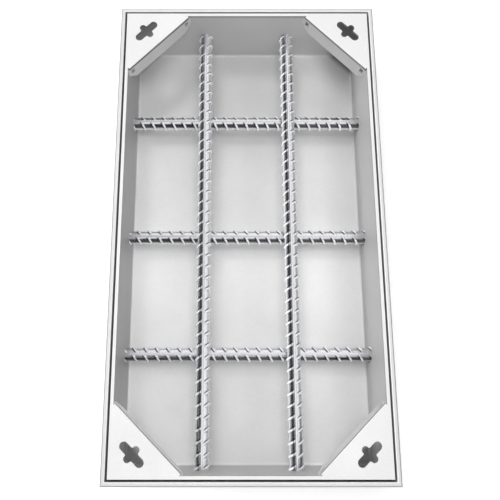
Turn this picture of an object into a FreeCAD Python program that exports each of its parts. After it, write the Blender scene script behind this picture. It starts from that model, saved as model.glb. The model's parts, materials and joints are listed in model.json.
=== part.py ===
import FreeCAD, Part
import os
import Sketcher

# A recessed paving cover: a mitred frame of folded angle, a folded tray that rests in it on a
# rubber seal, four corner plates with lifting keyholes, and a grid of ribbed bars welded in the tray.
# Millimetres. +Z is up, the base of the frame is at Z 0, the middle of the cover at X 0 and Y 0.

SIZES = {
    # Frame: four angle rails, mitred at the corners
    "frame_width": 312.0,
    "frame_length": 560.0,
    "frame_height": 100.0,
    "frame_sheet": 5.0,
    "frame_bend": 3.0,
    "frame_edge_round": 1.5,
    "ledge_width": 22.0,
    # Seal: flat rubber strips on the ledge
    "seal_inset": 9.0,
    "seal_width": 10.0,
    "seal_thickness": 2.5,
    "seal_edge": 0.6,
    # Tray: one folded sheet, open at the top
    "tray_gap": 2.5,
    "tray_sheet": 3.5,
    "tray_bend": 3.0,
    # Corner plates: a triangle with one folded flange along its long side
    "plate_leg": 74.5,
    "plate_sheet": 3.5,
    "plate_bend": 0.8,
    "plate_fold_round": 1.2,
    "flange_height": 25.0,
    "flange_clip": 10.5,
    "relief_width": 2.5,
    "vent_width": 5.0,
    "vent_height": 8.0,
    "vent_inset": 7.0,
    "vent_drop": 10.5,
    # Keyhole in each corner plate: a long slot crossed by a short one
    "key_inset": 21.0,
    "key_slot_length": 33.0,
    "key_slot_width": 9.6,
    "key_cross_length": 20.5,
    "key_cross_width": 8.0,
    "key_round": 1.3,
    # Ribbed bars: a core with a spine above and below, and a row of leaning ribs on each side
    "bar_core": 15.4,
    "spine_width": 2.0,
    "spine_height": 0.8,
    "rib_height": 1.3,
    "rib_width": 1.8,
    "rib_pitch": 13.3,
    "rib_lean": 34.0,
    "rib_shoulder": 40.0,
    "rib_fade": 75.0,
    "rib_root": 0.4,
    "rib_end_margin": 0.5,
    "bar_depth": 47.0,
    "long_bar_spacing": 105.0,
    "middle_cross_bar_shift": 1.5,
    "front_cross_bar_spacing": 143.0,
    "back_cross_bar_spacing": 153.0,
}

# Lengths that follow from the sizes, written once for the expressions below
TRAY_WIDTH = "(Sizes.frame_width - 2 * Sizes.frame_sheet - 2 * Sizes.tray_gap)"
TRAY_LENGTH = "(Sizes.frame_length - 2 * Sizes.frame_sheet - 2 * Sizes.tray_gap)"
TRAY_BASE = "(Sizes.frame_sheet + Sizes.seal_thickness)"
TRAY_HEIGHT = f"(Sizes.frame_height - {TRAY_BASE})"
INNER_WIDTH = f"({TRAY_WIDTH} - 2 * Sizes.tray_sheet)"
INNER_LENGTH = f"({TRAY_LENGTH} - 2 * Sizes.tray_sheet)"
INNER_DEPTH = f"({TRAY_HEIGHT} - Sizes.tray_sheet)"
SEAL_EDGE = "(Sizes.frame_sheet + Sizes.seal_inset)"
PLATE_REACH = "(Sizes.plate_leg / sqrt(2))"
CORE_REACH = "(Sizes.bar_core / 2)"
SPINE_REACH = f"({CORE_REACH} + Sizes.spine_height)"
RIB_REACH = f"({CORE_REACH} + Sizes.rib_height)"
LONG_BAR_LEVEL = "(Sizes.frame_height - Sizes.bar_depth)"
CROSS_BAR_LEVEL = f"({LONG_BAR_LEVEL} - 2 * {SPINE_REACH})"

# The bars' round cores are drawn with twelve flats, to keep down the facets of some 280 ribs
CORE_FLATS = 12

X, Y, Z = 0, 1, 2
UP = FreeCAD.Vector(0, 0, 1)

doc = FreeCAD.newDocument("paving_cover")
nodes = []


def make_sheet():
    """The spreadsheet of driving dimensions, one alias a row."""
    sheet = doc.addObject("Spreadsheet::Sheet", "Sizes")
    for row, (name, value) in enumerate(SIZES.items(), start=1):
        sheet.set(f"A{row}", name)
        sheet.set(f"B{row}", str(value))
        sheet.setAlias(f"B{row}", name)
    doc.recompute()
    return sheet


def number(expression):
    """The present value of an expression, in millimetres or as a plain number."""
    value = doc.getObject("Sizes").evalExpression(expression)
    return float(getattr(value, "Value", value))


def new_body(name, turn, x="0", y="0", z="0"):
    """An empty body, turned about Z and placed by expressions."""
    body = doc.addObject("PartDesign::Body", name)
    body.Label = name
    body.Placement = FreeCAD.Placement(FreeCAD.Vector(), FreeCAD.Rotation(UP, turn))
    for axis, expression in zip("xyz", (x, y, z)):
        body.setExpression(f"Placement.Base.{axis}", expression)
    nodes.append(body)
    return body


def origin_item(body, role):
    """One of the body's own origin planes or axes."""
    return next(item for item in body.Origin.OriginFeatures if item.Role == role)


def new_sketch(body, name, role):
    """A sketch on one of the body's own origin planes."""
    sketch = body.newObject("Sketcher::SketchObject", name)
    sketch.AttachmentSupport = [(origin_item(body, role), "")]
    sketch.MapMode = "FlatFace"
    return sketch


def pin_point(sketch, geometry, point, x, y):
    """Fixes a point of the sketch at two expressions, measured from the sketch's origin."""
    for kind, expression in (("DistanceX", x), ("DistanceY", y)):
        constraint = Sketcher.Constraint(kind, -1, 1, geometry, point, number(expression))
        index = sketch.addConstraint(constraint)
        sketch.setExpression(f"Constraints[{index}]", expression)


def draw_polygon(sketch, corners):
    """A closed outline of straight lines through corners given as pairs of expressions."""
    points = [FreeCAD.Vector(number(x), number(y), 0) for x, y in corners]
    first = sketch.GeometryCount
    count = len(points)
    for step in range(count):
        sketch.addGeometry(Part.LineSegment(points[step], points[(step + 1) % count]), False)
    for step in range(count):
        following = first + (step + 1) % count
        sketch.addConstraint(Sketcher.Constraint("Coincident", first + step, 2, following, 1))
    for step, (x, y) in enumerate(corners):
        pin_point(sketch, first + step, 1, x, y)


def draw_slot(sketch, x, y, length, width, upright=False):
    """A round-ended slot about a centre, along the sketch's X axis or upright."""
    half = f"(({length} - {width}) / 2)"
    radius = number(width) / 2
    middle = FreeCAD.Vector(number(x), number(y), 0)
    along = FreeCAD.Vector(0, 1, 0) if upright else FreeCAD.Vector(1, 0, 0)
    side = FreeCAD.Vector(-along.y, along.x, 0)
    ends = [middle + along * number(half), middle - along * number(half)]
    start = -90.0 if not upright else 0.0
    first = sketch.GeometryCount
    for step, centre in enumerate(ends):
        circle = Part.Circle(centre, UP, radius)
        begin = (start + 180.0 * step) * 3.141592653589793 / 180.0
        sketch.addGeometry(Part.ArcOfCircle(circle, begin, begin + 3.141592653589793), False)
    sketch.addGeometry(Part.LineSegment(ends[0] + side * radius, ends[1] + side * radius), False)
    sketch.addGeometry(Part.LineSegment(ends[1] - side * radius, ends[0] - side * radius), False)
    head, tail, left, right = first, first + 1, first + 2, first + 3
    for one, one_end, other, other_end in (
        (head, 2, left, 1),
        (left, 2, tail, 1),
        (tail, 2, right, 1),
        (right, 2, head, 1),
    ):
        sketch.addConstraint(Sketcher.Constraint("Tangent", one, one_end, other, other_end))
    sketch.addConstraint(Sketcher.Constraint("Equal", head, tail))
    index = sketch.addConstraint(Sketcher.Constraint("Radius", head, radius))
    sketch.setExpression(f"Constraints[{index}]", f"{width} / 2")
    if upright:
        pin_point(sketch, head, 3, x, f"{y} + {half}")
        pin_point(sketch, tail, 3, x, f"{y} - {half}")
    else:
        pin_point(sketch, head, 3, f"{x} + {half}", y)
        pin_point(sketch, tail, 3, f"{x} - {half}", y)


def add_pad(body, sketch, name, length, both_ways=False, refine=True):
    """Material over the sketch, upwards or half to each side."""
    feature = body.newObject("PartDesign::Pad", name)
    feature.Profile = sketch
    feature.Refine = refine
    feature.Midplane = both_ways
    feature.setExpression("Length", length)
    doc.recompute()
    return feature


def add_cut(body, sketch, name, length=None, refine=True):
    """A pocket of a given length below the sketch, or right through both ways."""
    before = body.Shape.Volume
    feature = body.newObject("PartDesign::Pocket", name)
    feature.Profile = sketch
    feature.Refine = refine
    if length is None:
        feature.Midplane = True
        feature.Type = "ThroughAll"
    else:
        feature.setExpression("Length", length)
    doc.recompute()
    if body.Shape.Volume >= before:
        raise RuntimeError(f"{name} cuts nothing")
    return feature


def add_fillet(body, name, lines, radius):
    """Rounds the straight edges that lie on the given lines, each an axis and two expressions."""
    base = body.Tip
    feature = body.newObject("PartDesign::Fillet", name)
    feature.Base = (base, straight_edges(base.Shape, lines))
    feature.setExpression("Radius", radius)
    doc.recompute()
    return feature


def straight_edges(shape, lines, slack=1e-4):
    """The names of straight edges along an axis, found by where they cross the other two axes."""
    wanted = [(axis, number(first), number(second)) for axis, first, second in lines]
    found = []
    for position, edge in enumerate(shape.Edges, start=1):
        if edge.Degenerated or edge.Length < slack:
            continue
        start, end = edge.Vertexes[0].Point, edge.Vertexes[-1].Point
        for axis, first, second in wanted:
            one, other = (side for side in (X, Y, Z) if side != axis)
            ends_meet = all(
                abs(point[one] - first) < slack and abs(point[other] - second) < slack
                for point in (start, end, edge.CenterOfMass)
            )
            if ends_meet and abs(end[axis] - start[axis]) > slack:
                found.append(f"Edge{position}")
    if len(found) < len(wanted):
        raise RuntimeError(f"{len(found)} of {len(wanted)} edges found")
    return found


def mirrored_points(corners):
    """The same corners on the other side of the sketch's vertical axis."""
    return [(f"-({x})", y) for x, y in corners]


def make_frame_rail(name, length, turn, x, y):
    """One folded angle, its outer face on the local XZ plane, its ends mitred at 45 degrees."""
    body = new_body(name, turn, x, y)
    section = new_sketch(body, f"{name}_section", "YZ_Plane")
    foot = "Sizes.frame_sheet + Sizes.ledge_width"
    draw_polygon(section, [
        ("0", "0"),
        (foot, "0"),
        (foot, "Sizes.frame_sheet"),
        ("Sizes.frame_sheet", "Sizes.frame_sheet"),
        ("Sizes.frame_sheet", "Sizes.frame_height"),
        ("0", "Sizes.frame_height"),
    ])
    add_pad(body, section, f"{name}_angle", length, both_ways=True)
    inner_corner = [(X, "Sizes.frame_sheet", "Sizes.frame_sheet")]
    add_fillet(body, f"{name}_inner_bend", inner_corner, "Sizes.frame_bend")
    outer_bend = "Sizes.frame_bend + Sizes.frame_sheet"
    add_fillet(body, f"{name}_outer_bend", [(X, "0", "0")], outer_bend)
    add_fillet(body, f"{name}_top_edge", [(X, "0", "Sizes.frame_height")], "Sizes.frame_edge_round")
    mitre = new_sketch(body, f"{name}_mitre_lines", "XY_Plane")
    end = f"{length} / 2"
    corner = [(end, "0"), (end, foot), (f"{end} - ({foot})", foot)]
    draw_polygon(mitre, corner)
    draw_polygon(mitre, mirrored_points(corner))
    add_cut(body, mitre, f"{name}_mitres")


def make_frame():
    """Four rails round the opening, each turned so that its ledge points inwards."""
    half_width = "Sizes.frame_width / 2"
    half_length = "Sizes.frame_length / 2"
    make_frame_rail("frame_rail_front", "Sizes.frame_width", 0, "0", f"-{half_length}")
    make_frame_rail("frame_rail_back", "Sizes.frame_width", 180, "0", half_length)
    make_frame_rail("frame_rail_left", "Sizes.frame_length", -90, f"-{half_width}", "0")
    make_frame_rail("frame_rail_right", "Sizes.frame_length", 90, half_width, "0")


def make_seal_strip(name, length, turn, x, y):
    """One flat rubber strip on the ledge, its two upper long edges bevelled."""
    body = new_body(name, turn, x, y, "Sizes.frame_sheet")
    section = new_sketch(body, f"{name}_section", "YZ_Plane")
    half = "Sizes.seal_width / 2"
    top = "Sizes.seal_thickness"
    draw_polygon(section, [
        (f"-{half}", "0"),
        (half, "0"),
        (half, f"{top} - Sizes.seal_edge"),
        (f"{half} - Sizes.seal_edge", top),
        (f"-{half} + Sizes.seal_edge", top),
        (f"-{half}", f"{top} - Sizes.seal_edge"),
    ])
    add_pad(body, section, f"{name}_strip", length, both_ways=True)


def make_seal():
    """Two full-length side strips, and two end strips cut to fit between them."""
    across = f"(Sizes.frame_width / 2 - {SEAL_EDGE} - Sizes.seal_width / 2)"
    along = f"(Sizes.frame_length / 2 - {SEAL_EDGE} - Sizes.seal_width / 2)"
    side_length = f"Sizes.frame_length - 2 * {SEAL_EDGE}"
    end_length = f"Sizes.frame_width - 2 * {SEAL_EDGE} - 2 * Sizes.seal_width"
    make_seal_strip("seal_strip_left", side_length, 90, f"-{across}", "0")
    make_seal_strip("seal_strip_right", side_length, 90, across, "0")
    make_seal_strip("seal_strip_front", end_length, 0, "0", f"-{along}")
    make_seal_strip("seal_strip_back", end_length, 0, "0", along)


def floor_edges(width, length, level):
    """The four edges round a rectangle at a level, for a fillet."""
    return [
        (X, f"-{length} / 2", level),
        (X, f"{length} / 2", level),
        (Y, f"-{width} / 2", level),
        (Y, f"{width} / 2", level),
    ]


def centred_rectangle(width, length):
    """The four corners of a rectangle about the sketch's origin."""
    return [
        (f"-{width} / 2", f"-{length} / 2"),
        (f"{width} / 2", f"-{length} / 2"),
        (f"{width} / 2", f"{length} / 2"),
        (f"-{width} / 2", f"{length} / 2"),
    ]


def make_tray():
    """The folded pan: a floor and four walls with welded corners, bent up round the floor."""
    body = new_body("tray_pan", 0, z=TRAY_BASE)
    outside = new_sketch(body, "tray_pan_outside", "XY_Plane")
    draw_polygon(outside, centred_rectangle(TRAY_WIDTH, TRAY_LENGTH))
    add_pad(body, outside, "tray_pan_block", TRAY_HEIGHT)
    inside = new_sketch(body, "tray_pan_inside", "XY_Plane")
    inside.setExpression("AttachmentOffset.Base.z", TRAY_HEIGHT)
    draw_polygon(inside, centred_rectangle(INNER_WIDTH, INNER_LENGTH))
    add_cut(body, inside, "tray_pan_hollow", INNER_DEPTH)
    outer_bend = "Sizes.tray_bend + Sizes.tray_sheet"
    outside_edges = floor_edges(TRAY_WIDTH, TRAY_LENGTH, "0")
    add_fillet(body, "tray_pan_outer_bends", outside_edges, outer_bend)
    inside_edges = floor_edges(INNER_WIDTH, INNER_LENGTH, "Sizes.tray_sheet")
    add_fillet(body, "tray_pan_inner_bends", inside_edges, "Sizes.tray_bend")


def make_corner_plate(name, turn, x, y):
    """A triangular plate with a folded flange, its right-angled corner at the local origin."""
    body = new_body(name, turn, x, y, "Sizes.frame_height")
    section = new_sketch(body, f"{name}_section", "YZ_Plane")
    edge = f"-{PLATE_REACH}"
    draw_polygon(section, [
        ("0", "0"),
        (edge, "0"),
        (edge, "-Sizes.flange_height"),
        (f"{edge} + Sizes.plate_sheet", "-Sizes.flange_height"),
        (f"{edge} + Sizes.plate_sheet", "-Sizes.plate_sheet"),
        ("0", "-Sizes.plate_sheet"),
    ])
    add_pad(body, section, f"{name}_fold", f"2 * {PLATE_REACH}", both_ways=True)
    add_fillet(body, f"{name}_outer_bend", [(X, edge, "0")], "Sizes.plate_fold_round")
    inner_corner = [(X, f"{edge} + Sizes.plate_sheet", "-Sizes.plate_sheet")]
    add_fillet(body, f"{name}_inner_bend", inner_corner, "Sizes.plate_bend")

    outline = new_sketch(body, f"{name}_outline", "XY_Plane")
    waste = [("0", "0"), (PLATE_REACH, f"-{PLATE_REACH}"), (PLATE_REACH, "0")]
    draw_polygon(outline, waste)
    draw_polygon(outline, mirrored_points(waste))
    add_cut(body, outline, f"{name}_legs")

    relief = new_sketch(body, f"{name}_relief_corners", "XY_Plane")
    notch_start = f"({PLATE_REACH} - Sizes.relief_width)"
    notch = [
        (notch_start, f"-{PLATE_REACH}"),
        (PLATE_REACH, f"-{PLATE_REACH}"),
        (PLATE_REACH, f"-{notch_start}"),
        (notch_start, f"-{notch_start}"),
    ]
    draw_polygon(relief, notch)
    draw_polygon(relief, mirrored_points(notch))
    add_cut(body, relief, f"{name}_relief_notches", "Sizes.plate_sheet + Sizes.plate_bend")

    flange = new_sketch(body, f"{name}_flange_ends", "XZ_Plane")
    clip = [
        (PLATE_REACH, "-Sizes.flange_height"),
        (PLATE_REACH, "-Sizes.flange_height + Sizes.flange_clip"),
        (f"{PLATE_REACH} - Sizes.flange_clip", "-Sizes.flange_height"),
    ]
    draw_polygon(flange, clip)
    draw_polygon(flange, mirrored_points(clip))
    add_cut(body, flange, f"{name}_clips")

    vents = new_sketch(body, f"{name}_vent_slots", "XZ_Plane")
    vent_middle = f"({PLATE_REACH} - Sizes.vent_inset)"
    vent = [
        (f"{vent_middle} - Sizes.vent_width / 2", "-Sizes.vent_drop - Sizes.vent_height / 2"),
        (f"{vent_middle} + Sizes.vent_width / 2", "-Sizes.vent_drop - Sizes.vent_height / 2"),
        (f"{vent_middle} + Sizes.vent_width / 2", "-Sizes.vent_drop + Sizes.vent_height / 2"),
        (f"{vent_middle} - Sizes.vent_width / 2", "-Sizes.vent_drop + Sizes.vent_height / 2"),
    ]
    draw_polygon(vents, vent)
    draw_polygon(vents, mirrored_points(vent))
    add_cut(body, vents, f"{name}_vents")

    key_middle = "(-Sizes.key_inset * sqrt(2))"
    long_slot = new_sketch(body, f"{name}_key_slot", "XY_Plane")
    draw_slot(long_slot, "0", key_middle, "Sizes.key_slot_length", "Sizes.key_slot_width")
    add_cut(body, long_slot, f"{name}_key_slot_cut", "Sizes.plate_sheet")
    cross_slot = new_sketch(body, f"{name}_key_cross", "XY_Plane")
    draw_slot(cross_slot, "0", key_middle, "Sizes.key_cross_length", "Sizes.key_cross_width", upright=True)
    add_cut(body, cross_slot, f"{name}_key_cross_cut", "Sizes.plate_sheet")
    shoulder = "Sizes.key_cross_width / 2"
    waist = "Sizes.key_slot_width / 2"
    inner_corners = [
        (Z, f"{sign}{shoulder}", f"{key_middle} {side} {waist}") for sign in ("", "-") for side in "+-"
    ]
    room = "(Sizes.key_cross_length - Sizes.key_cross_width - Sizes.key_slot_width) / 2"
    add_fillet(body, f"{name}_key_rounds", inner_corners, f"min(Sizes.key_round; 0.9 * {room})")


def make_corner_plates():
    """One plate in each corner of the tray, its top flush with the rim."""
    half_width = f"{INNER_WIDTH} / 2"
    half_length = f"{INNER_LENGTH} / 2"
    make_corner_plate("corner_plate_back_right", -45, half_width, half_length)
    make_corner_plate("corner_plate_back_left", 45, f"-{half_width}", half_length)
    make_corner_plate("corner_plate_front_left", 135, f"-{half_width}", f"-{half_length}")
    make_corner_plate("corner_plate_front_right", -135, half_width, f"-{half_length}")


def around(radius, angle):
    """A point at a radius and an angle in degrees from the sketch's origin."""
    return f"{radius} * cos({angle} * 1 deg)", f"{radius} * sin({angle} * 1 deg)"


def add_rib_band(body, name, length):
    """A band along the whole bar that follows the crests of both rows of ribs."""
    outline = new_sketch(body, f"{name}_rib_outline", "YZ_Plane")
    upper = [
        around(RIB_REACH, "Sizes.rib_shoulder"),
        around(f"({CORE_REACH} - Sizes.rib_root)", "Sizes.rib_fade"),
    ]
    lower = [(across, f"-({up})") for across, up in reversed(upper)]
    far_side = lower + [(RIB_REACH, "0")] + upper
    near_side = [(f"-({across})", up) for across, up in reversed(far_side)]
    draw_polygon(outline, far_side + near_side)
    add_pad(body, outline, f"{name}_rib_band", length, both_ways=True, refine=False)


def cut_one_side(body, name, length, side, sign):
    """Cuts the band on one side of the bar down to a row of leaning ribs."""
    inner = f"(({CORE_REACH} - Sizes.rib_root) * cos(Sizes.rib_fade * 1 deg))"
    outer = f"({RIB_REACH} + 1)"
    slope = "tan(Sizes.rib_lean * 1 deg)"
    half_rib = "(Sizes.rib_width / cos(Sizes.rib_lean * 1 deg) / 2)"
    ends = f"(2 * Sizes.rib_end_margin + 2 * {outer} * {slope} + 2 * {half_rib} + Sizes.rib_pitch / 2)"
    steps = f"floor(({length} - {ends}) / Sizes.rib_pitch)"
    first = f"(-{steps} * Sizes.rib_pitch / 2 {sign} Sizes.rib_pitch / 4)"
    last = f"({first} + {steps} * Sizes.rib_pitch)"
    opposite = "-" if sign == "+" else "+"

    def flank(start, reach):
        """A point on a rib's flank, which leans back as it goes outwards on either side."""
        return f"{start} {opposite} {reach} * {slope}", f"{sign}{reach}".lstrip("+")

    gap = new_sketch(body, f"{name}_{side}_gap_outline", "XY_Plane")
    gap_start = f"{first} + {half_rib}"
    gap_end = f"{first} + Sizes.rib_pitch - {half_rib}"
    draw_polygon(gap, [
        flank(gap_start, inner),
        flank(gap_start, outer),
        flank(gap_end, outer),
        flank(gap_end, inner),
    ])
    cut = add_cut(body, gap, f"{name}_{side}_gap", refine=False)
    row = body.newObject("PartDesign::LinearPattern", f"{name}_{side}_gaps")
    row.Originals = [cut]
    row.Refine = False
    row.Direction = (origin_item(body, "X_Axis"), [""])
    row.Mode = "Spacing"
    row.setExpression("Offset", "Sizes.rib_pitch")
    body.Tip = row
    row.setExpression("Occurrences", steps)
    doc.recompute()

    clear = new_sketch(body, f"{name}_{side}_end_outlines", "XY_Plane")
    for edge, bar_end in (
        (f"{first} - {half_rib}", f"-{length} / 2 - 1"),
        (f"{last} + {half_rib}", f"{length} / 2 + 1"),
    ):
        draw_polygon(clear, [
            flank(edge, inner),
            flank(edge, outer),
            (bar_end, flank(edge, outer)[1]),
            (bar_end, flank(edge, inner)[1]),
        ])
    add_cut(body, clear, f"{name}_{side}_ends", refine=False)


def add_bar_core(body, name, length):
    """The core inside the ribs, with its flat-topped spines above and below."""
    section = new_sketch(body, f"{name}_core_section", "YZ_Plane")
    half = "Sizes.spine_width / 2"
    step = 360 // CORE_FLATS
    quarter = [
        around(f"{CORE_REACH} / cos({step / 2} deg)", str(step * (turn + 0.5)))
        for turn in range(CORE_FLATS // 4)
    ]
    upper = quarter + [(half, CORE_REACH), (half, SPINE_REACH)]
    upper += [(f"-({across})", up) for across, up in reversed(upper)]
    lower = [(across, f"-({up})") for across, up in reversed(upper)]
    draw_polygon(section, upper + lower)
    add_pad(body, section, f"{name}_core", length, both_ways=True)


def make_bar(name, length, turn, x, y, level):
    """One ribbed reinforcing bar along the body's X axis."""
    body = new_body(name, turn, x, y, level)
    add_rib_band(body, name, length)
    cut_one_side(body, name, length, "far", "+")
    cut_one_side(body, name, length, "near", "-")
    add_bar_core(body, name, length)
    return body


def copy_bar(name, source, turn, x, y, level):
    """Another bar cut to the same length, which follows the first one's shape."""
    body = new_body(name, turn, x, y, level)
    body.BaseFeature = source
    doc.recompute()


def make_bars():
    """Two long bars, and three cross bars that lie under them, spine against spine."""
    beside = "Sizes.long_bar_spacing / 2"
    long_bar = make_bar("long_bar_left", INNER_LENGTH, 90, f"-{beside}", "0", LONG_BAR_LEVEL)
    copy_bar("long_bar_right", long_bar, 90, beside, "0", LONG_BAR_LEVEL)
    middle = "Sizes.middle_cross_bar_shift"
    front = f"{middle} - Sizes.front_cross_bar_spacing"
    back = f"{middle} + Sizes.back_cross_bar_spacing"
    cross_bar = make_bar("cross_bar_front", INNER_WIDTH, 0, "0", front, CROSS_BAR_LEVEL)
    copy_bar("cross_bar_middle", cross_bar, 0, "0", middle, CROSS_BAR_LEVEL)
    copy_bar("cross_bar_back", cross_bar, 0, "0", back, CROSS_BAR_LEVEL)


def check_document():
    """Stops when any object failed, or any node is not one sound solid."""
    doc.recompute()
    for item in doc.Objects:
        if "Invalid" in item.State or "Error" in item.State:
            raise RuntimeError(f"{item.Name}: {item.State}")
    for body in nodes:
        shape = body.Shape
        if shape.isNull() or not shape.isValid() or len(shape.Solids) != 1:
            raise RuntimeError(f"{body.Label} is not one valid solid")


def write_parts():
    """One STEP file for each node."""
    os.makedirs("parts", exist_ok=True)
    for body in nodes:
        body.Shape.exportStep(f"parts/{body.Label}.step")
        print(f"{body.Label}: {body.Shape.Volume / 1000:.1f} cm3")


make_sheet()
make_frame()
make_seal()
make_tray()
make_corner_plates()
make_bars()
check_document()
write_parts()
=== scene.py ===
import contextlib
import json
import math

import bmesh
import bpy
import numpy as np
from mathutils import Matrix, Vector


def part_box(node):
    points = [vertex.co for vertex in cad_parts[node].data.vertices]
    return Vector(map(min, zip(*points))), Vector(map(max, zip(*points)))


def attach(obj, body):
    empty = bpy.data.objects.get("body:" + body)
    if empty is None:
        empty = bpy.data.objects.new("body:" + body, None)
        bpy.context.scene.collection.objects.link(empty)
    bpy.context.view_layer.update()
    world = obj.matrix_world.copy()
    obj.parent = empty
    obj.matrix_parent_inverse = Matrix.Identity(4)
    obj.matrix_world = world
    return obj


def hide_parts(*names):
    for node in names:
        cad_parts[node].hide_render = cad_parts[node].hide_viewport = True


# Draws the recessed paving cover over its fixed CAD frame, in metres, +Z up.
# The bars are redrawn with round cores and with ribs to their ends, the frame's rails get an eased
# inner edge, and weld beads are added. All other pieces keep their CAD form and get a fuller finish.

MM = 0.001

# Pieces

LONG_BARS = ("long_bar_left", "long_bar_right")
CROSS_BARS = ("cross_bar_front", "cross_bar_middle", "cross_bar_back")
# Each rail's axis that points into the tray, 0 for X and 1 for Y, and the way it points
RAILS = {
    "frame_rail_front": (1, 1.0),
    "frame_rail_back": (1, -1.0),
    "frame_rail_left": (0, 1.0),
    "frame_rail_right": (0, -1.0),
}

# Sheet parts, in metres and as in the CAD source
TRAY_SHEET = 3.5 * MM
FRAME_SHEET = 5.0 * MM
EDGE_ROUND = 1.5 * MM
# The ground edge that the rails get here, and its facets
EASED_EDGE = 0.9 * MM
EASED_FACETS = 3

# Ribbed bars, in millimetres and as in the CAD source
CORE_RADIUS = 7.7
SPINE_REACH = 8.5
RIB_REACH = 9.0
RIB_PITCH = 13.3
RIB_WIDTH = 1.8
RIB_SLOPE = math.tan(math.radians(34.0))
RIB_END_MARGIN = 0.5
# Ribs drawn at each end past the source's last whole one
EXTRA_RIBS = 3
# How far from a bar's middle the source cuts the gaps between its ribs
GAP_REACH = RIB_REACH + 1.0
# Half the width of a rib at its foot, and the share of it that the flank takes
RIB_FOOT = 1.9
RIB_FLANK = 0.55
# How far a rib reaches round the bar from its middle, in degrees, and how blunt its ends are
RIB_SPREAD = 79.0
RIB_BLUNTNESS = 3
# Where the rings of vertices lie beside a rib's middle, in rib feet
RING_OFFSETS = (-1.2, -1.0, -0.8, -0.6, -0.42, -0.15, 0.15, 0.42, 0.6, 0.8, 1.0, 1.2, 1.45, 1.7)
# Rings are placed to so many digits of a millimetre, so that equal ones fall together
RING_DIGITS = 3
# Angles of the vertices beside a spine's middle, in degrees, and then the step round the core
SPINE_ANGLES = (0.0, 3.4, 6.2, 7.2, 8.2, 9.6, 12.0)
CORE_STEP = 6.0
# The spine's shoulder: angles from its middle and the share of its height there
SHOULDER_ANGLES = (6.2, 7.2, 8.2, 9.6)
SHOULDER_SHARES = (1.0, 0.82, 0.22, 0.0)
# How much the spine's flat top may curve up at its edges, and the angle to which it is followed
SPINE_CROWN = 0.06
SPINE_LIMIT = 40.0
# Faces that meet at more than this angle, in degrees, have a sharp edge between them
BAR_SHARPNESS = 50.0
RAIL_SHARPNESS = 25.0
BEAD_SHARPNESS = 60.0
# Points of a rail nearer than the first are one point, within the second they lie on a plane, and
# faces that meet at less than the third, in degrees, are one face
SAME_POINT = 1e-6
SAME_PLANE = 1e-5
SAME_FACE = 0.5

# Weld beads, in millimetres
BEAD_STEP = 0.5
BEAD_LEAST_RINGS = 8
BEAD_SIDES = 14
BEAD_WOBBLE = 0.08
RIPPLE_PITCH = 1.5
RIPPLE_HEIGHT = 0.10
BEAD_END_SHARE = 0.15
BEAD_TAPER = 0.8
# Keeps a bead's side from vanishing where its path runs straight up
OFF_UPRIGHT = 1e-6
# At a bar's ends: size, distance out from the core and from the wall, and degrees round the bar
END_BEAD = 1.5
END_BEAD_OUT = 0.5
END_BEAD_ARC = (200.0, 340.0)
END_BEAD_POINTS = 24
END_BEAD_SEED = 3
# At a crossing: size, half length, and distance out from the cross bar's middle at ends and middle
CROSSING_BEAD = 1.3
CROSSING_HALF_LENGTH = 2.6
CROSSING_OUT_AT_ENDS = 1.9
CROSSING_OUT_AT_MIDDLE = 2.3
CROSSING_SEED = 20

# Looks

# Greys of the sheet parts and bars
RIM_GREY = 0.825
FRAME_TOP_GREY = 0.72
# Painted shade on the rails' upright faces
FRAME_SIDE_GREY = 0.38
# Painted shade: walls darker than rim and floor, side walls darker than end walls
WALL_GREY = 0.465
END_WALL_GREY = 0.56
# Painted shade on the tray's upright edges just below the rim
EDGE_GREY = 0.36
# Painted shade on the corner plates' cut edges and fold
FOLD_GREY = 0.20
# Left, then right: painted shade under the corner plates, and the flanges of the back and the front plates,
# with painted light and shade
GRIME_GREYS = (0.47, 0.27)
BACK_FLANGE_GREYS = (0.76, 0.49)
FRONT_FLANGE_GREYS = (0.92, 0.58)
# Painted shade and light on the floor, from its front to its back, by share of the tray's length: darker
# towards the back
FLOOR_TONES = ((0.0, 0.77), (0.42, 0.84), (0.84, 0.69), (1.0, 0.73))
# Painted light and shade: what the floor's grey is multiplied by at its left and right, and near a corner
# plate
FLOOR_ACROSS = (1.08, 0.98)
FLOOR_NEAR_PLATES = 1.22
# Painted light: how much lighter floor and end walls get towards the left wall, and the share of the tray's
# half width, left of its middle, at which that starts
NEAR_LEFT = 1.12
NEAR_LEFT_START = 0.25
BAR_GREY = 0.82
# Painted dark reflection along one flank of each bar
SCALE_GREY = 0.21
# Painted shade at the roots of the ribs
ROOT_GREY = 0.08
# Painted highlights on the ribs' crests and along the flanks
CREST_GREY = 0.96
# The faint blue cast of bare metal
COOL = (0.990, 0.994, 1.025)

# Where finishes change, in millimetres below the top of the cover
TRAY_TOP_DEPTHS = (0.5, 0.2)
TRAY_EDGE_DEPTHS = (5.0, 3.0)
FRAME_TOP_DEPTHS = (0.3, 0.1)
PLATE_TOP_DEPTHS = (0.7, 0.3)
PLATE_FOLD_DEPTHS = (4.2, 3.4)
# Above the floor, before the walls, and before the tray's corners
FLOOR_HEIGHTS = (0.3, 3.0)
END_WALL_DISTANCES = (1.0, 0.3)
SIDE_WALL_DISTANCES = (1.0, 0.0)
UNDER_PLATE_DISTANCES = (34.0, 24.0)
NEAR_PLATE_DISTANCES = (120.0, 45.0)
# To each side of the middle
MIDDLE_SEAM = 1.0 * MM

# The rails' ground inner edge, lightened with a painted highlight, and outer edge, darkened with painted
# shade
GROUND_EDGE_GREY = 0.93
OUTER_EDGE_GREY = 0.42
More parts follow.
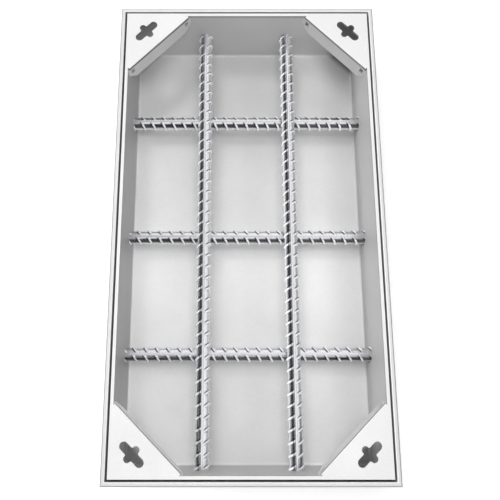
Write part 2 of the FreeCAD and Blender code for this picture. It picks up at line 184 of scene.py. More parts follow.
# Roughness, from low to high
SHEET_ROUGHNESS = (0.42, 0.55)
GROUND_EDGE_ROUGHNESS = (0.36, 0.48)
OUTER_EDGE_ROUGHNESS = (0.45, 0.60)
BAR_ROUGHNESS = (0.20, 0.28)
WELD_ROUGHNESS = (0.25, 0.45)
RUBBER_ROUGHNESS = (0.62, 0.85)
# How metallic the pickled sheet and the painted highlights on a bar's ribs and flanks are
SHEET_METALLIC = 0.2
CREST_METALLIC = 0.10
# How far clouds, grain and mottle change a grey
CLOUDS = (0.965, 1.035)
GRAIN = (0.975, 1.025)
BAR_MOTTLE = (0.94, 1.04)
# Dark and light colour of the weld beads and the seal
WELD_COLOURS = ((0.36, 0.35, 0.34), (0.62, 0.61, 0.60))
RUBBER_GREYS = (0.018, 0.045)

# Noise: the values between which most of it lies, and its cells a metre in each finish
NOISE_LOW = 0.3
NOISE_HIGH = 0.7
NOISE_ROUGHNESS = 0.55
NOISE_DETAIL = 4.0
SOFT_NOISE_DETAIL = 3.0
CLOUD_CELLS = 16.0
GRAIN_CELLS = 420.0
BAR_CELLS = 260.0
WELD_CELLS = 500.0
FINE_CELLS = 700.0
# Relief: how deep it is, and its strength in each finish
RELIEF_DEPTH = 0.2 * MM
SHEET_RELIEF = 0.06
BAR_RELIEF = 0.05
RUBBER_RELIEF = 0.25

# Bands that run along a bar, each with its middle and half its width in degrees, and its strength
# The dark band along one flank: a painted reflection
LONG_SCALE = (60.0, 11.0, 0.7)
CROSS_SCALE = (139.0, 21.0, 1.0)
# Painted highlights: pale bands beside the painted dark reflection
LONG_RUBS = ((18.0, 16.0, 0.7), (158.0, 20.0, 0.55))
CROSS_RUBS = ((179.0, 16.0, 0.75),)
# A painted highlight over the long bars' back ends, and the millimetres in which it fades out along the bar
BACK_END_RUB = (125.0, 36.0, 0.55)
BACK_END_FADE = 75.0
# Degrees in which a band fades out at its sides
BAND_FADE = 12.0
# Where the painted highlight on a rib's crest starts, by its height from 0 to 1, and how fast it gets full
CREST_START = 0.36
CREST_RISE = 0.30
# Painted shade past a rib's far flank: its middle and half its width in rib feet, and its peak
ROOT_MIDDLE = 1.1
ROOT_HALF_WIDTH = 0.5
ROOT_PEAK = 1.35
# How fast the root gets full where the rib rises from the core
ROOT_RISE = 3

# Light and camera

# The surround as polished metal sees it: how far a direction points to the bright side, and its level
BRIGHT_SIDE = (0.924, 0.383, 0.0)
STUDIO_PANELS = (
    (-1.0, 0.10), (-0.33, 0.10), (-0.12, 0.66), (0.08, 0.76), (0.17, 1.12), (0.50, 1.12), (0.68, 0.95),
)
# A bright panel over the front: its share by how far a direction points back, and its half width
FRONT_PANEL = ((-1.0, 0.0), (-0.48, 0.0), (-0.40, 1.0), (-0.02, 1.0), (0.14, 0.0), (1.0, 0.0))
FRONT_PANEL_HALF_WIDTH = 0.35
FRONT_PANEL_SOFTNESS = 0.05
FRONT_PANEL_LEVEL = 1.12
DOME_LEVEL = 0.35

# The ground: half its width, its grey, and how much it is lifted to stay white to the camera
GROUND_HALF_WIDTH = 6.0
GROUND_GREY = 0.88
GROUND_ROUGHNESS = 0.9
GROUND_LIFT = 0.45

# Square lamps, all pointing at one place: where each one is, its width in metres and its watts
LAMP_TARGET = (0.0, 0.0, 0.05)
LAMPS = {
    "above": ((0.0, 0.0, 0.95), 0.4, 2.65),
    "left": ((-1.9, 0.1, 0.82), 1.0, 33.0),
    "back": ((-0.1, 1.65, 0.95), 1.0, 1.5),
    "front": ((0.1, -1.9, 0.9), 1.0, 9.0),
    "key": ((-0.5, 0.85, 1.7), 0.35, 6.5),
}

# The camera that took the photograph, as the cover's outline and inner edges give it
CAMERA_PLACE = (-0.02375, -0.1834, 0.7471)
CAMERA_TILT = 13.379
CAMERA_LENS = 42.6
CAMERA_SENSOR = 36.0
CAMERA_SHIFT = 0.0442
CAMERA_CLIP = (0.01, 50.0)

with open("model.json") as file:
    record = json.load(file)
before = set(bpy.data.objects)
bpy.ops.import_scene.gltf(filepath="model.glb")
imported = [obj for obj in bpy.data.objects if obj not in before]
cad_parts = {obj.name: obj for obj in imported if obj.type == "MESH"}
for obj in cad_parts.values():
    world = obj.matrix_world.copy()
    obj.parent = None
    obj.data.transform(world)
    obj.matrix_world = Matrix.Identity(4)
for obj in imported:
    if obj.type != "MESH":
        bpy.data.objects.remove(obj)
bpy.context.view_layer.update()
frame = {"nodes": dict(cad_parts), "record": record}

# Levels and lines of the tray, in metres, which the finishes follow
tray_low, tray_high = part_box("tray_pan")
TOP = tray_high[2]
FLOOR_LEVEL = tray_low[2] + TRAY_SHEET
HALF_WIDTH = tray_high[0] - TRAY_SHEET
HALF_LENGTH = tray_high[1] - TRAY_SHEET
CORNER_REACH = HALF_WIDTH + HALF_LENGTH


def mesh_object(name, verts, faces, look):
    """A new piece from vertices in millimetres and faces, riding on the cover's one body."""
    mesh = bpy.data.meshes.new(name)
    mesh.from_pydata((verts * MM).tolist(), [], faces)
    mesh.validate()
    return adopt(name, mesh, look)


def adopt(name, mesh, look):
    """Makes an object of a mesh, gives it a material and its slot, and rides it on the root body."""
    piece = bpy.data.objects.new(name, mesh)
    bpy.context.scene.collection.objects.link(piece)
    mesh.materials.clear()
    mesh.materials.append(MATERIALS[look])
    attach(piece, "root")
    return piece


@contextlib.contextmanager
def edited(mesh):
    """Opens a mesh for editing and writes it back."""
    shape = bmesh.new()
    shape.from_mesh(mesh)
    yield shape
    shape.to_mesh(mesh)
    shape.free()


def outward(mesh):
    """Turns all faces outwards."""
    with edited(mesh) as shape:
        bmesh.ops.recalc_face_normals(shape, faces=shape.faces[:])


def smooth_by_angle(mesh, degrees):
    """Smooth shading with sharp edges where faces meet at more than an angle."""
    limit = math.radians(degrees)
    with edited(mesh) as shape:
        for face in shape.faces:
            face.smooth = True
        for edge in shape.edges:
            edge.smooth = edge.is_manifold and edge.calc_face_angle(math.pi) < limit


def tube_faces(rings, around):
    """The faces between rings of vertices, each ring with the same number around."""
    faces = []
    for ring in range(rings - 1):
        for side in range(around):
            a = ring * around + side
            b = ring * around + (side + 1) % around
            faces.append((a, b, b + around, a + around))
    return faces


def box_in_mm(node):
    """The lowest and highest corner of a CAD node, in millimetres."""
    low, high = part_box(node)
    return np.array(low) / MM, np.array(high) / MM


# Nodes of the materials

# Where the Mix node has its two inputs and its output, for colours and for plain values
MIX_COLOURS = (6, 7)
MIX_COLOUR_OUT = 2
MIX_VALUES = (2, 3)
MIX_VALUE_OUT = 0


def new_material(name):
    """A material with its node tree and Principled shader."""
    material = bpy.data.materials.new(name)
    material.use_nodes = True
    tree = material.node_tree
    return material, tree, tree.nodes["Principled BSDF"]


def add_node(tree, kind, inputs=None, **settings):
    """One node with its settings and input values."""
    node = tree.nodes.new(kind)
    for key, value in settings.items():
        setattr(node, key, value)
    for key, value in (inputs or {}).items():
        node.inputs[key].default_value = value
    return node


def feed(tree, socket, value):
    """Gives a socket a plain value, or links another node's output to it."""
    if isinstance(value, bpy.types.NodeSocket):
        tree.links.new(value, socket)
    else:
        socket.default_value = value


def grey(level):
    """A grey as a colour with full alpha."""
    return (level, level, level, 1.0)


def noise_at(tree, scale, detail=NOISE_DETAIL):
    """Noise in the object's own space; scale is in cells a metre."""
    coords = add_node(tree, "ShaderNodeTexCoord")
    inputs = {"Scale": scale, "Detail": detail, "Roughness": NOISE_ROUGHNESS}
    noise = add_node(tree, "ShaderNodeTexNoise", inputs)
    tree.links.new(coords.outputs["Object"], noise.inputs["Vector"])
    return noise.outputs["Fac"]


def ramp(tree, source, low, high, start=NOISE_LOW, end=NOISE_HIGH):
    """Maps a value from start to end onto low to high."""
    inputs = {"From Min": start, "From Max": end, "To Min": low, "To Max": high}
    node = add_node(tree, "ShaderNodeMapRange", inputs)
    tree.links.new(source, node.inputs["Value"])
    return node.outputs["Result"]


def step(tree, source, start, end):
    """Goes from 0 to 1 as a value goes from start to end."""
    return ramp(tree, source, 0.0, 1.0, start, end)


def tones(tree, source, stops):
    """A colour that follows a value through stops, each with a place and a grey or a colour."""
    node = add_node(tree, "ShaderNodeValToRGB")
    elements = node.color_ramp.elements
    while len(elements) < len(stops):
        elements.new(0.5)
    for element, (place, level) in zip(elements, stops):
        element.position = place
        element.color = grey(level) if isinstance(level, float) else (*level, 1.0)
    tree.links.new(source, node.inputs["Fac"])
    return node.outputs["Color"]


def mottled(tree, noise, dark, light):
    """A colour that follows noise from a dark to a light grey or colour."""
    return tones(tree, noise, ((NOISE_LOW, dark), (NOISE_HIGH, light)))


def blend(tree, amount, first, second):
    """Goes from one grey or colour to another as an amount goes from 0 to 1."""
    node = add_node(tree, "ShaderNodeMix", data_type="RGBA")
    tree.links.new(amount, node.inputs[0])
    for place, colour in zip(MIX_COLOURS, (first, second)):
        feed(tree, node.inputs[place], grey(colour) if isinstance(colour, float) else colour)
    return node.outputs[MIX_COLOUR_OUT]


def between(tree, amount, first, second):
    """Goes from one value to another as an amount goes from 0 to 1."""
    node = add_node(tree, "ShaderNodeMix", data_type="FLOAT")
    tree.links.new(amount, node.inputs[0])
    for place, value in zip(MIX_VALUES, (first, second)):
        feed(tree, node.inputs[place], value)
    return node.outputs[MIX_VALUE_OUT]


def calculate(tree, operation, *values):
    """One step of arithmetic on values or node outputs."""
    node = add_node(tree, "ShaderNodeMath", operation=operation)
    for place, value in enumerate(values):
        feed(tree, node.inputs[place], value)
    return node.outputs["Value"]


def multiply_colour(tree, colour, amount):
    """A colour made lighter or darker by an amount."""
    node = add_node(tree, "ShaderNodeVectorMath", operation="SCALE")
    tree.links.new(colour, node.inputs[0])
    tree.links.new(amount, node.inputs["Scale"])
    return node.outputs["Vector"]


def cooled(tree, colour):
    """A grey with the faint blue cast of bare metal."""
    node = add_node(tree, "ShaderNodeVectorMath", {1: COOL}, operation="MULTIPLY")
    tree.links.new(colour, node.inputs[0])
    return node.outputs["Vector"]


def bump(tree, shader, source, strength):
    """Adds relief to the shader from a height value."""
    node = add_node(tree, "ShaderNodeBump", {"Strength": strength, "Distance": RELIEF_DEPTH})
    tree.links.new(source, node.inputs["Height"])
    tree.links.new(node.outputs["Normal"], shader.inputs["Normal"])


def place_in_object(tree):
    """The X, Y and Z of a point of the piece, in metres."""
    coords = add_node(tree, "ShaderNodeTexCoord")
    split = add_node(tree, "ShaderNodeSeparateXYZ")
    tree.links.new(coords.outputs["Object"], split.inputs["Vector"])
    return split.outputs


def above_depths(tree, z, depths):
    """Goes from 0 to 1 between two depths below the top of the cover, in millimetres."""
    lower, upper = depths
    return step(tree, z, TOP - lower * MM, TOP - upper * MM)


def within(tree, distance, limit, distances):
    """Goes from 0 to 1 between two distances before a limit, in millimetres."""
    far, near = distances
    return step(tree, distance, limit - far * MM, limit - near * MM)


# Materials


def finish_sheet(tree, shader, colour, roughness=SHEET_ROUGHNESS):
    """The pickled sheet's faint clouds, fine grain and slightly uneven gloss over a colour."""
    clouds = ramp(tree, noise_at(tree, CLOUD_CELLS, SOFT_NOISE_DETAIL), *CLOUDS)
    grain = noise_at(tree, GRAIN_CELLS)
    mottle = calculate(tree, "MULTIPLY", clouds, ramp(tree, grain, *GRAIN))
    tree.links.new(multiply_colour(tree, colour, mottle), shader.inputs["Base Color"])
    tree.links.new(ramp(tree, grain, *roughness), shader.inputs["Roughness"])
    shader.inputs["Metallic"].default_value = SHEET_METALLIC
    bump(tree, shader, grain, SHEET_RELIEF)


def tray_steel():
    """Ground rim; painted shade on its upright edges, on the walls and under the corner plates; a floor
    toned with painted light and shade.
    """
    material, tree, shader = new_material("tray_sheet")
    x, y, z = place_in_object(tree)
    off_x = calculate(tree, "ABSOLUTE", x)
    off_y = calculate(tree, "ABSOLUTE", y)
    reach = calculate(tree, "ADD", off_x, off_y)

    along = step(tree, y, -HALF_LENGTH, HALF_LENGTH)
    # Painted light: the floor lighter at its left and near the corner plates, a little darker at its right
    across = ramp(tree, x, *FLOOR_ACROSS, -HALF_WIDTH, HALF_WIDTH)
    near_plates = within(tree, reach, CORNER_REACH, NEAR_PLATE_DISTANCES)
    # Painted shade and light along the floor, darker towards the back
    floor = multiply_colour(tree, tones(tree, along, FLOOR_TONES), across)
    floor = multiply_colour(tree, floor, between(tree, near_plates, 1.0, FLOOR_NEAR_PLATES))

    low, high = FLOOR_HEIGHTS
    above_floor = step(tree, z, FLOOR_LEVEL + low * MM, FLOOR_LEVEL + high * MM)
    at_end = within(tree, off_y, HALF_LENGTH, END_WALL_DISTANCES)
    # Painted shade on the walls, less on the end walls
    walls = blend(tree, at_end, WALL_GREY, END_WALL_GREY)
    inside = blend(tree, above_floor, floor, walls)

    # Painted light on floor and end walls towards the left wall
    near_left = ramp(tree, x, NEAR_LEFT, 1.0, -HALF_WIDTH, -NEAR_LEFT_START * HALF_WIDTH)
    at_side = within(tree, off_x, HALF_WIDTH, SIDE_WALL_DISTANCES)
    inside = blend(tree, at_side, multiply_colour(tree, inside, near_left), inside)
    # Painted shade under the corner plates, darker on the right
    grime = ramp(tree, x, *GRIME_GREYS, -MIDDLE_SEAM, MIDDLE_SEAM)
    inside = blend(tree, within(tree, reach, CORNER_REACH, UNDER_PLATE_DISTANCES), inside, grime)

    # Painted shade on the upright edges just below the rim
    sides = blend(tree, above_depths(tree, z, TRAY_EDGE_DEPTHS), inside, EDGE_GREY)
    colour = blend(tree, above_depths(tree, z, TRAY_TOP_DEPTHS), sides, RIM_GREY)
    finish_sheet(tree, shader, colour)
    return material


def plate_steel():
    """A corner plate: ground top, cut edges and fold darkened with painted shade, and a flange whose grey
    differs per corner with painted light and shade.
    """
    material, tree, shader = new_material("plate_sheet")
    x, y, z = place_in_object(tree)
    on_right = step(tree, x, -MIDDLE_SEAM, MIDDLE_SEAM)
    at_back = step(tree, y, -MIDDLE_SEAM, MIDDLE_SEAM)
    # Painted light and shade: each corner's flange gets its own grey
    front = blend(tree, on_right, *FRONT_FLANGE_GREYS)
    back = blend(tree, on_right, *BACK_FLANGE_GREYS)
    flange = blend(tree, at_back, front, back)
    # Painted shade on the plate's cut edges and fold
    sides = blend(tree, above_depths(tree, z, PLATE_FOLD_DEPTHS), flange, FOLD_GREY)
    colour = blend(tree, above_depths(tree, z, PLATE_TOP_DEPTHS), sides, RIM_GREY)
    finish_sheet(tree, shader, colour)
    return material


def frame_steel():
    """The frame's rails: pale top, and upright faces darkened with painted shade."""
    material, tree, shader = new_material("frame_sheet")
    z = place_in_object(tree)[2]
    on_top = above_depths(tree, z, FRAME_TOP_DEPTHS)
    finish_sheet(tree, shader, cooled(tree, blend(tree, on_top, FRAME_SIDE_GREY, FRAME_TOP_GREY)))
    return material


def plain_sheet(name, level, roughness):
    """Sheet steel of one even grey."""
    material, tree, shader = new_material(name)
    colour = add_node(tree, "ShaderNodeRGB").outputs[0]
    colour.default_value = grey(level)
    finish_sheet(tree, shader, colour, roughness)
    return material


def bar_steel():
    """Ribbed bar: bright metal, a painted dark reflection along one flank, painted shade at the ribs'
    roots, and painted highlights, less metallic, on the crests and flanks.
    """
    material, tree, shader = new_material("ribbed_bar")
    mottle = noise_at(tree, BAR_CELLS)
    colour = mottled(tree, mottle, *(share * BAR_GREY for share in BAR_MOTTLE))
    layers = {
        name: add_node(tree, "ShaderNodeAttribute", attribute_name=name).outputs["Fac"]
        for name in ("scale", "root", "crest")
    }
    # The dark band along one flank is a painted reflection, the dark rib roots painted shade, and the pale
    # crests and bands painted highlights
    for name, level in (("scale", SCALE_GREY), ("root", ROOT_GREY), ("crest", CREST_GREY)):
        colour = blend(tree, layers[name], colour, level)
    tree.links.new(cooled(tree, colour), shader.inputs["Base Color"])
    tree.links.new(between(tree, layers["crest"], 1.0, CREST_METALLIC), shader.inputs["Metallic"])
    tree.links.new(ramp(tree, mottle, *BAR_ROUGHNESS), shader.inputs["Roughness"])
    bump(tree, shader, noise_at(tree, FINE_CELLS, SOFT_NOISE_DETAIL), BAR_RELIEF)
    return material


def weld_steel():
    """Weld bead: bright metal with a darker tint in patches."""
    material, tree, shader = new_material("weld_bead")
    mottle = noise_at(tree, WELD_CELLS)
    tree.links.new(mottled(tree, mottle, *WELD_COLOURS), shader.inputs["Base Color"])
    tree.links.new(ramp(tree, mottle, *WELD_ROUGHNESS), shader.inputs["Roughness"])
    shader.inputs["Metallic"].default_value = 1.0
    return material


def seal_rubber():
    """Matt black rubber with a fine moulded skin."""
    material, tree, shader = new_material("seal_rubber")
    skin = noise_at(tree, FINE_CELLS)
    tree.links.new(mottled(tree, skin, *RUBBER_GREYS), shader.inputs["Base Color"])
    tree.links.new(ramp(tree, skin, *RUBBER_ROUGHNESS), shader.inputs["Roughness"])
    bump(tree, shader, skin, RUBBER_RELIEF)
    return material


MATERIALS = {
    "frame_steel": frame_steel(),
    "tray_steel": tray_steel(),
    "plate_steel": plate_steel(),
    "bar_steel": bar_steel(),
    "weld": weld_steel(),
    "seal_rubber": seal_rubber(),
    "eased_edge_highlight": plain_sheet("eased_edge_highlight", GROUND_EDGE_GREY, GROUND_EDGE_ROUGHNESS),
    "outer_edge_shade": plain_sheet("outer_edge_shade", OUTER_EDGE_GREY, OUTER_EDGE_ROUGHNESS),
}


def dress_cad_nodes():
    """Gives every carried-over CAD node the detailed material of its slot."""
    for entry in frame["record"]["subparts"]:
        is_plate = entry["node"].startswith("corner_plate")
        look = "plate_steel" if is_plate else entry["material_slot"]
        for place in frame["nodes"][entry["node"]].material_slots:
            place.material = MATERIALS[look]


# Ribbed bars


def rib_rows(length):
    """The middles of the ribs on the far and near side of a bar along X, and past its ends."""
    half_rib = RIB_WIDTH * math.hypot(1.0, RIB_SLOPE) / 2
    ends = 2 * RIB_END_MARGIN + 2 * GAP_REACH * RIB_SLOPE + 2 * half_rib + RIB_PITCH / 2
    steps = math.floor((length - ends) / RIB_PITCH) + 2 * EXTRA_RIBS
    middles = np.arange(steps + 1) * RIB_PITCH - steps * RIB_PITCH / 2
    return middles + RIB_PITCH / 4, middles - RIB_PITCH / 4


def rib_profile(distance):
    """The height of a rib, from 0 to 1, at a distance along the bar from its middle."""
    rise = np.clip((1.0 - np.abs(distance) / RIB_FOOT) / RIB_FLANK, 0.0, 1.0)
    return rise * rise * (3 - 2 * rise)


def root_shade(distance):
    """How dark the painted shade is, from 0 to 1, just past the far flank of a rib."""
    off_middle = np.abs(distance - ROOT_MIDDLE * RIB_FOOT)
    return np.clip(ROOT_PEAK - off_middle / (ROOT_HALF_WIDTH * RIB_FOOT), 0.0, 1.0)


def band(angles, middle, half_width, strength):
    """How strong a finish is, from 0 to 1, that runs along one flank of the bar."""
    off_middle = np.abs(angles - middle)
    return strength * np.clip((half_width + BAND_FADE / 2 - off_middle) / BAND_FADE, 0.0, 1.0)


def section_angles():
    """Angles round the bar, in degrees from the far side, closer together at the spines."""
    core = np.arange(SPINE_ANGLES[-1] + CORE_STEP, 90.0 + CORE_STEP / 2, CORE_STEP)
    quarter = np.array([*SPINE_ANGLES, *core])
    half = 90.0 - np.concatenate([-quarter[::-1][:-1], quarter])
    return np.sort(np.concatenate([half[:-1], half[:-1] - 180.0]) % 360.0)


def base_radius(angles):
    """The core's radius, with the flat-topped spines, at angles in degrees from the far side."""
    from_spine = np.abs((angles % 180.0) - 90.0)
    flat_top = SPINE_REACH / np.cos(np.radians(np.minimum(from_spine, SPINE_LIMIT)))
    shoulder = np.interp(from_spine, SHOULDER_ANGLES, SHOULDER_SHARES)
    return CORE_RADIUS + (np.minimum(flat_top, SPINE_REACH + SPINE_CROWN) - CORE_RADIUS) * shoulder


def ribs_and_roots(rows, stations, angles, root_side):
    """The ribs' height and the painted shade at their roots, from 0 to 1, at each station and angle."""
    off_side = np.abs(((angles + 90.0) % 180.0) - 90.0)
    spread = 1.0 - np.clip(off_side / RIB_SPREAD, 0.0, 1.0) ** RIB_BLUNTNESS
    on_far = np.cos(np.radians(angles)) > 0
    heights = np.zeros((len(stations), len(angles)))
    roots = np.zeros_like(heights)
    for middles, side in zip(rows, (on_far, ~on_far)):
        gaps = stations[:, None] - middles[None, :]
        nearest = gaps[np.arange(len(stations)), np.abs(gaps).argmin(axis=1)]
        span = np.where(side, spread, 0.0)[None, :]
        heights += rib_profile(nearest)[:, None] * span
        roots += root_shade(root_side * nearest)[:, None] * np.minimum(ROOT_RISE * span, 1.0)
    return heights, roots


def rubbed_bands(stations, angles, length, along_y):
    """How strong the painted highlights along the flanks are, from 0 to 1, at each station and angle."""
    if not along_y:
        return sum(band(angles, *rub) for rub in CROSS_RUBS)[None, :]
    rubbed = sum(band(angles, *rub) for rub in LONG_RUBS)[None, :]
    near_back = np.clip((stations - length / 2 + BACK_END_FADE) / BACK_END_FADE, 0.0, 1.0)
    return np.maximum(rubbed, near_back[:, None] * band(angles, *BACK_END_RUB)[None, :])


def ribbed_bar(node, along_y):
    """A bar with crescent ribs that stands for a CAD bar of the same size and place."""
    axis = 1 if along_y else 0
    low, high = box_in_mm(node)
    middle = (low + high) / 2
    length = (high - low)[axis]
    rows = rib_rows(length)
    root_side = 1.0 if along_y else -1.0
    offsets = root_side * np.array(RING_OFFSETS) * RIB_FOOT
    stations = np.concatenate([(middles[:, None] + offsets[None, :]).ravel() for middles in rows])
    stations = np.unique(np.round(stations, RING_DIGITS))
    angles = section_angles()

    # Rib heights, and painted shade at their roots
    heights, roots = ribs_and_roots(rows, stations, angles, root_side)
    rubbed = rubbed_bands(stations, angles, length, along_y)
    # Painted dark reflection along one flank
    scale = band(angles, *(LONG_SCALE if along_y else CROSS_SCALE))
    layers = {
        # Painted highlights on the ribs' crests and along the flanks
        "crest": np.maximum(np.clip((heights - CREST_START) / CREST_RISE, 0.0, 1.0), rubbed),
        "root": roots,
        "scale": np.tile(scale, (len(stations), 1)),
    }

    # the rings lean with the ribs; the bar is then cut square at its two ends
    radius = np.maximum(base_radius(angles)[None, :], CORE_RADIUS + heights * (RIB_REACH - CORE_RADIUS))
    turn = np.radians(angles)
    y = radius * np.cos(turn)[None, :]
    z = radius * np.sin(turn)[None, :]
    x = stations[:, None] - y * RIB_SLOPE
    if along_y:
        x, y = -y, x
    points = np.stack([x + middle[0], y + middle[1], z + middle[2]], axis=-1).reshape(-1, 3)
    faces = tube_faces(len(stations), len(angles))
    piece = mesh_object(f"{node}_ribbed", points, faces, "bar_steel")
    for name, values in layers.items():
        layer = piece.data.attributes.new(name, "FLOAT", "POINT")
        layer.data.foreach_set("value", values.ravel().astype(np.float32))
    cut_square(piece.data, axis, low, high)
    outward(piece.data)
    smooth_by_angle(piece.data, BAR_SHARPNESS)
    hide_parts(node)


def cut_square(mesh, axis, low, high):
    """Cuts a long tube off square at two places along an axis and closes its ends."""
    with edited(mesh) as shape:
        for place, sign in ((low, -1.0), (high, 1.0)):
            normal = [0.0, 0.0, 0.0]
            normal[axis] = sign
            parts = shape.verts[:] + shape.edges[:] + shape.faces[:]
            bmesh.ops.bisect_plane(
                shape, geom=parts, plane_co=(place * MM).tolist(), plane_no=normal, clear_outer=True
            )
        open_edges = [edge for edge in shape.edges if edge.is_boundary]
        bmesh.ops.holes_fill(shape, edges=open_edges, sides=0)


# Eased edges on the frame


def eased_rail(node, axis, inward):
    """The rail's own form with its inner top edge ground to a small facet that a painted highlight makes
    bright, and its outer top edge darkened with painted shade.
    """
    mesh = frame["nodes"][node].data.copy()
    mesh.name = f"{node}_eased"
    piece = adopt(f"{node}_eased", mesh, "frame_steel")
    # the rail's own look has place 0, and its two edges' looks come after it
    ground_place, outer_place = 1, 2
    mesh.materials.append(MATERIALS["eased_edge_highlight"])
    mesh.materials.append(MATERIALS["outer_edge_shade"])
    low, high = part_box(node)
    outer = low[axis] if inward > 0 else high[axis]
    inner = outer + inward * FRAME_SHEET
    with edited(mesh) as shape:
        bmesh.ops.remove_doubles(shape, verts=shape.verts[:], dist=SAME_POINT)
        bmesh.ops.dissolve_limit(
            shape, angle_limit=math.radians(SAME_FACE), verts=shape.verts[:], edges=shape.edges[:]
        )
        rim = [
            edge for edge in shape.edges
            if all(
                max(abs(vert.co.z - high[2]), abs(vert.co[axis] - inner)) < SAME_PLANE
                for vert in edge.verts
            )
        ]
        if not rim:
            raise RuntimeError(f"{node} has no inner top edge")
        made = bmesh.ops.bevel(
            shape, geom=rim, offset=EASED_EDGE, segments=EASED_FACETS, profile=0.5,
            affect="EDGES", clamp_overlap=True,
        )
        # The ground facet gets a painted highlight, the outer top edge painted shade
        for face in made["faces"]:
            face.material_index = ground_place
        for face in shape.faces:
            centre = face.calc_center_median()
            drop = high[2] - centre.z
            if SAME_POINT < drop < EDGE_ROUND and abs(centre[axis] - outer) < EDGE_ROUND:
                face.material_index = outer_place
    smooth_by_angle(mesh, RAIL_SHARPNESS)
    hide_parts(node)


# Weld beads


def bead(path, size, seed):
    """The vertices and faces of a rippled weld bead along a path, in millimetres."""
    path = np.array(path)
    known = np.concatenate([[0], np.cumsum(np.linalg.norm(np.diff(path, axis=0), axis=1))])
    total = known[-1]
    count = max(BEAD_LEAST_RINGS, int(total / BEAD_STEP))
    where = np.linspace(0, total, count)
    centre = np.stack([np.interp(where, known, path[:, k]) for k in range(3)], axis=1)
    direction = np.gradient(centre, axis=0)
    direction /= np.linalg.norm(direction, axis=1)[:, None]
    side = np.cross(direction, np.array([0.0, 0.0, 1.0]) + OFF_UPRIGHT)
    side /= np.linalg.norm(side, axis=1)[:, None]
    up = np.cross(side, direction)
    rng = np.random.default_rng(seed)
    wobble = 1 + BEAD_WOBBLE * rng.standard_normal(count).cumsum() / math.sqrt(count)
    ripple = 1 + RIPPLE_HEIGHT * np.abs(np.sin(where / RIPPLE_PITCH * math.pi))
    from_end = np.minimum(where, total - where)
    taper = np.clip(from_end / (BEAD_TAPER * size), BEAD_END_SHARE, 1.0) ** 0.5
    radius = (size * wobble * ripple * taper)[:, None, None]
    turn = np.linspace(0, 2 * math.pi, BEAD_SIDES, endpoint=False)[None, :, None]
    points = centre[:, None, :] + radius * (np.cos(turn) * side[:, None, :] + np.sin(turn) * up[:, None, :])
    faces = tube_faces(count, BEAD_SIDES)
    faces.append(tuple(range(BEAD_SIDES - 1, -1, -1)))
    faces.append(tuple(range((count - 1) * BEAD_SIDES, count * BEAD_SIDES)))
    return points.reshape(-1, 3), faces


def join_beads(name, beads):
    """One piece from several beads."""
    verts = np.vstack([points for points, _ in beads])
    faces = []
    start = 0
    for points, bead_faces in beads:
        faces.extend(tuple(index + start for index in face) for face in bead_faces)
        start += len(points)
    piece = mesh_object(name, verts, faces, "weld")
    outward(piece.data)
    smooth_by_angle(piece.data, BEAD_SHARPNESS)


def bar_end_welds(node, along_y):
    """A bead round the underside of each end of a bar, where it meets the tray's wall."""
    low, high = box_in_mm(node)
    middle = (low + high) / 2
    axis, other = (1, 0) if along_y else (0, 1)
    out = CORE_RADIUS + END_BEAD_OUT
    beads = []
    for end, sign in ((low[axis], 1), (high[axis], -1)):
        path = []
        for turn in np.radians(np.linspace(*END_BEAD_ARC, END_BEAD_POINTS)):
            point = np.array(middle)
            point[axis] = end + sign * END_BEAD_OUT
            point[other] += out * math.cos(turn)
            point[2] += out * math.sin(turn)
            path.append(point)
        beads.append(bead(path, END_BEAD, len(beads) + END_BEAD_SEED))
    join_beads(f"{node}_end_welds", beads)


def crossing_welds():
    """A short bead on each side of each crossing, in the notch between the two bars."""
    beads = []
    for long_bar in LONG_BARS:
        low, high = box_in_mm(long_bar)
        x = (low[0] + high[0]) / 2
        for cross_bar in CROSS_BARS:
            cross_low, cross_high = box_in_mm(cross_bar)
            y = (cross_low[1] + cross_high[1]) / 2
            for side in (-1, 1):
                path = [
                    (x - CROSSING_HALF_LENGTH, y + side * CROSSING_OUT_AT_ENDS, low[2]),
                    (x, y + side * CROSSING_OUT_AT_MIDDLE, low[2]),
                    (x + CROSSING_HALF_LENGTH, y + side * CROSSING_OUT_AT_ENDS, low[2]),
                ]
                beads.append(bead(path, CROSSING_BEAD, len(beads) + CROSSING_SEED))
    join_beads("crossing_welds", beads)


# Ground, light and camera


def build_stage():
    """A plain white ground that stays white to the camera and keeps the cover's shadow."""
    size = GROUND_HALF_WIDTH
    mesh = bpy.data.meshes.new("floor")
    corners = [(-size, -size, 0), (size, -size, 0), (size, size, 0), (-size, size, 0)]
    mesh.from_pydata(corners, [], [(0, 1, 2, 3)])
    ground = bpy.data.objects.new("floor", mesh)
    bpy.context.scene.collection.objects.link(ground)
    material, tree, shader = new_material("floor")
    shader.inputs["Base Color"].default_value = grey(GROUND_GREY)
    shader.inputs["Roughness"].default_value = GROUND_ROUGHNESS
    shader.inputs["Specular IOR Level"].default_value = 0.0
    rays = add_node(tree, "ShaderNodeLightPath")
    lift = add_node(tree, "ShaderNodeEmission", {"Color": grey(1.0)})
    amount = calculate(tree, "MULTIPLY", rays.outputs["Is Camera Ray"], GROUND_LIFT)
    tree.links.new(amount, lift.inputs["Strength"])
    both = add_node(tree, "ShaderNodeAddShader")
    tree.links.new(shader.outputs["BSDF"], both.inputs[0])
    tree.links.new(lift.outputs["Emission"], both.inputs[1])
    tree.links.new(both.outputs["Shader"], tree.nodes["Material Output"].inputs["Surface"])
    mesh.materials.append(material)


def panel_row(tree, source, stops):
    """The level of a row of panels for a direction's reach from -1 to 1."""
    places = [((place + 1.0) / 2.0, level) for place, level in stops]
    return tones(tree, step(tree, source, -1.0, 1.0), places)


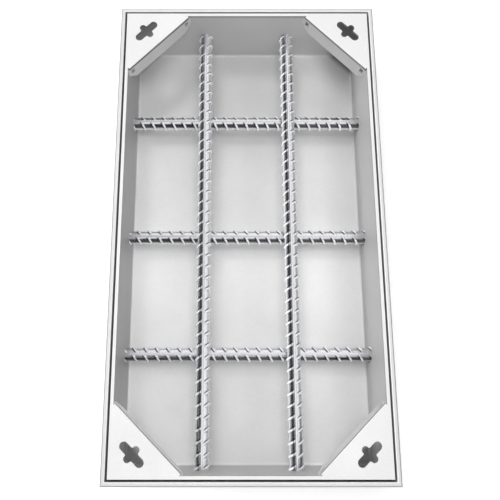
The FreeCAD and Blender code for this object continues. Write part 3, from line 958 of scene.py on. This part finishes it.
def build_world():
    """A plain white surround, which polished metal sees with dark and bright sides as in a studio."""
    world = bpy.data.worlds.new("studio")
    bpy.context.scene.world = world
    world.use_nodes = True
    tree = world.node_tree
    direction = add_node(tree, "ShaderNodeTexCoord").outputs["Generated"]
    toward = add_node(tree, "ShaderNodeVectorMath", {1: BRIGHT_SIDE}, operation="DOT_PRODUCT")
    tree.links.new(direction, toward.inputs[0])
    sides = panel_row(tree, toward.outputs["Value"], STUDIO_PANELS)
    split = add_node(tree, "ShaderNodeSeparateXYZ")
    tree.links.new(direction, split.inputs["Vector"])
    inner = FRONT_PANEL_HALF_WIDTH - FRONT_PANEL_SOFTNESS
    outer = FRONT_PANEL_HALF_WIDTH + FRONT_PANEL_SOFTNESS
    inside = ramp(tree, calculate(tree, "ABSOLUTE", split.outputs["X"]), 1.0, 0.0, inner, outer)
    share = multiply_colour(tree, panel_row(tree, split.outputs["Y"], FRONT_PANEL), inside)
    panels = blend(tree, share, sides, FRONT_PANEL_LEVEL)
    rays = add_node(tree, "ShaderNodeLightPath")
    unseen = between(tree, rays.outputs["Is Glossy Ray"], DOME_LEVEL, panels)
    strength = between(tree, rays.outputs["Is Camera Ray"], unseen, 1.0)
    background = tree.nodes["Background"]
    tree.links.new(strength, background.inputs["Strength"])
    background.inputs["Color"].default_value = grey(1.0)


def build_lights():
    """A soft lamp above, low wide ones from the left, back and front, and a small key for shadows."""
    for name, (place, size, power) in LAMPS.items():
        data = bpy.data.lights.new(name, "AREA")
        data.shape = "SQUARE"
        data.size = size
        data.energy = power
        lamp = bpy.data.objects.new(name, data)
        bpy.context.scene.collection.objects.link(lamp)
        lamp.location = place
        aim = Vector(LAMP_TARGET) - Vector(place)
        lamp.rotation_euler = aim.to_track_quat("-Z", "Y").to_euler()
        lamp.visible_glossy = False


def build_camera():
    """The photograph's view: nearly straight down, from a little in front."""
    data = bpy.data.cameras.new("camera")
    data.sensor_width = CAMERA_SENSOR
    data.lens = CAMERA_LENS
    data.shift_x = CAMERA_SHIFT
    data.clip_start, data.clip_end = CAMERA_CLIP
    data.dof.use_dof = False
    camera = bpy.data.objects.new("camera", data)
    bpy.context.scene.collection.objects.link(camera)
    camera.location = CAMERA_PLACE
    camera.rotation_euler = (math.radians(CAMERA_TILT), 0.0, 0.0)
    bpy.context.scene.camera = camera


dress_cad_nodes()
for bars, along_y in ((LONG_BARS, True), (CROSS_BARS, False)):
    for bar in bars:
        ribbed_bar(bar, along_y)
        bar_end_welds(bar, along_y)
crossing_welds()
for rail, (axis, inward) in RAILS.items():
    eased_rail(rail, axis, inward)
build_stage()
build_world()
build_lights()
build_camera()
bpy.context.scene.view_settings.view_transform = "Standard"
